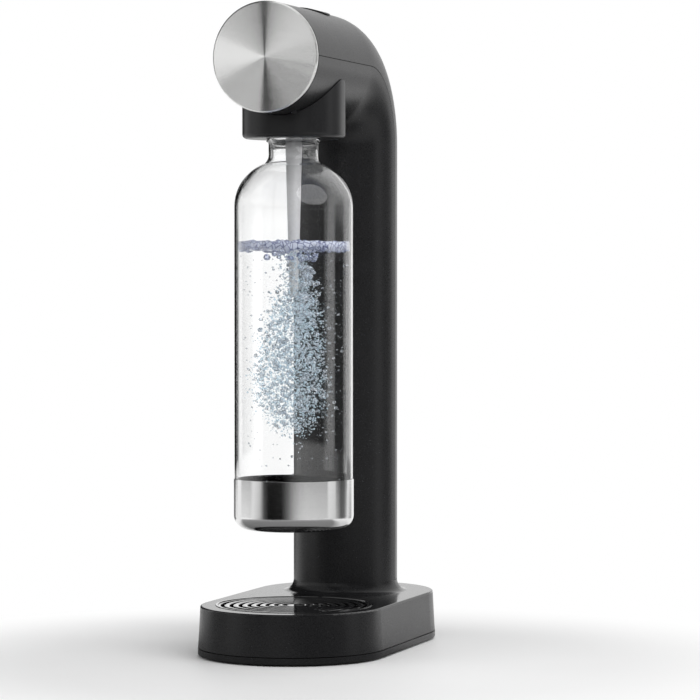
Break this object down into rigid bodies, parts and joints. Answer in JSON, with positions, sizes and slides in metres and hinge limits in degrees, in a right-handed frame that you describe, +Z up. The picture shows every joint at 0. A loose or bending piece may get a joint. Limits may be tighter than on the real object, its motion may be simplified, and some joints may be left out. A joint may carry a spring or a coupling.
{
  "type": "soda carbonator",
  "caption": "Table-top soda carbonator: a bent black tube on a long rounded base, with a tilting bottle holder, clear bottle in a steel cup, drip tray and push button.",
  "frame": {"origin": "on the ground under the middle of the base", "axes": "+Z up, -Y towards the front where the bottle hangs, +X to the right seen from the front"},
  "size_m": [0.1242, 0.229, 0.4239],
  "materials": {
    "housing_plastic": "fine spark-eroded texture, satin black",
    "holder_plastic": "fine texture, satin black",
    "tray_plastic": "satin black",
    "button_plastic": "smooth black",
    "dark_plastic": "plain moulded black",
    "disc_steel": "circular brushing, bevelled edge",
    "cup_steel": "fine brushing round the cup",
    "spring_steel": "drawn wire, polished pins and pressed sheet",
    "zinc_screws": "zinc-plated",
    "valve_brass": "turned",
    "cylinder_aluminium": "satin, drawn body",
    "frame_plastic": "glass-filled grey",
    "seal_rubber": "soft black",
    "nozzle_plastic": "translucent white",
    "collar_plastic": "light grey",
    "hose_plastic": "natural white",
    "bottle_clear": "clear polymer, glossy"
  },
  "bodies": {
    "machine": {"front_housing": "housing_plastic", "base_plate": "housing_plastic", "base_screws": "zinc_screws", "rubber_feet": "seal_rubber", "face_disc": "disc_steel", "disc_carrier": "dark_plastic", "inner_frame": "frame_plastic", "frame_screws": "zinc_screws", "holder_pin": "spring_steel", "gas_hose": "hose_plastic", "hose_fitting": "valve_brass", "valve_block": "valve_brass", "plunger_spring": "spring_steel", "cylinder_gasket": "seal_rubber", "lever_pin": "spring_steel", "cylinder_pads": "seal_rubber"},
    "cover": {"rear_cover": "housing_plastic", "button_cage": "dark_plastic", "button_spring": "spring_steel"},
    "button": {"carbonation_button": "button_plastic"},
    "lever": {"trigger_lever": "spring_steel"},
    "plunger": {"valve_plunger": "spring_steel"},
    "holder": {"bottle_holder": "holder_plastic", "neck_collar": "collar_plastic", "neck_clip": "spring_steel", "bottle_seal": "seal_rubber", "nozzle_body": "nozzle_plastic", "nozzle_tube": "nozzle_plastic", "nozzle_tip": "nozzle_plastic", "relief_valve": "valve_brass"},
    "bottle": {"bottle_shell": "bottle_clear", "bottle_cup": "cup_steel"},
    "tray": {"drip_tray": "tray_plastic"},
    "grille": {"drip_grille": "tray_plastic"},
    "cylinder": {"gas_cylinder": "cylinder_aluminium", "cylinder_valve": "valve_brass"}
  },
  "joints": [
    {"name": "cover_slide", "type": "slide", "parent": "machine", "child": "cover", "axis": [0, 1, 0], "range_m": [0, 0.22]},
    {"name": "button_press", "type": "slide", "parent": "cover", "child": "button", "axis": [0, 0, -1], "range_m": [0, 0.005], "stiffness_N_per_m": 1500, "springref_m": -0.003, "deforming": ["button_spring"]},
    {"name": "lever_swing", "type": "hinge", "parent": "machine", "child": "lever", "pos_m": [0, 0.069, 0.367], "axis": [1, 0, 0], "range_deg": [0, 3.1]},
    {"name": "plunger_stroke", "type": "slide", "parent": "machine", "child": "plunger", "axis": [0, 0, -1], "range_m": [0, 0.0008], "deforming": ["plunger_spring"]},
    {"name": "holder_tilt", "type": "hinge", "parent": "machine", "child": "holder", "pos_m": [0, -0.08, 0.362], "axis": [-1, 0, 0], "range_deg": [0, 20], "deforming": ["gas_hose"]},
    {"name": "bottle_drop", "type": "slide", "parent": "holder", "child": "bottle", "axis": [0, 0, -1], "range_m": [0, 0.022], "deforming": ["neck_clip"]},
    {"name": "tray_lift", "type": "slide", "parent": "machine", "child": "tray", "axis": [0, 0, 1], "range_m": [0, 0.02]},
    {"name": "grille_lift", "type": "slide", "parent": "tray", "child": "grille", "axis": [0, 0, 1], "range_m": [0, 0.006]},
    {"name": "cylinder_turn", "type": "hinge", "parent": "machine", "child": "cylinder", "pos_m": [0, 0.054, 0.2], "axis": [0, 0, 1], "continuous": true}
  ],
  "couplings": [
    {"joint": "lever_swing", "follows": "button_press", "rad_per_m": 10.4},
    {"joint": "plunger_stroke", "follows": "button_press", "ratio": 0.15}
  ]
}
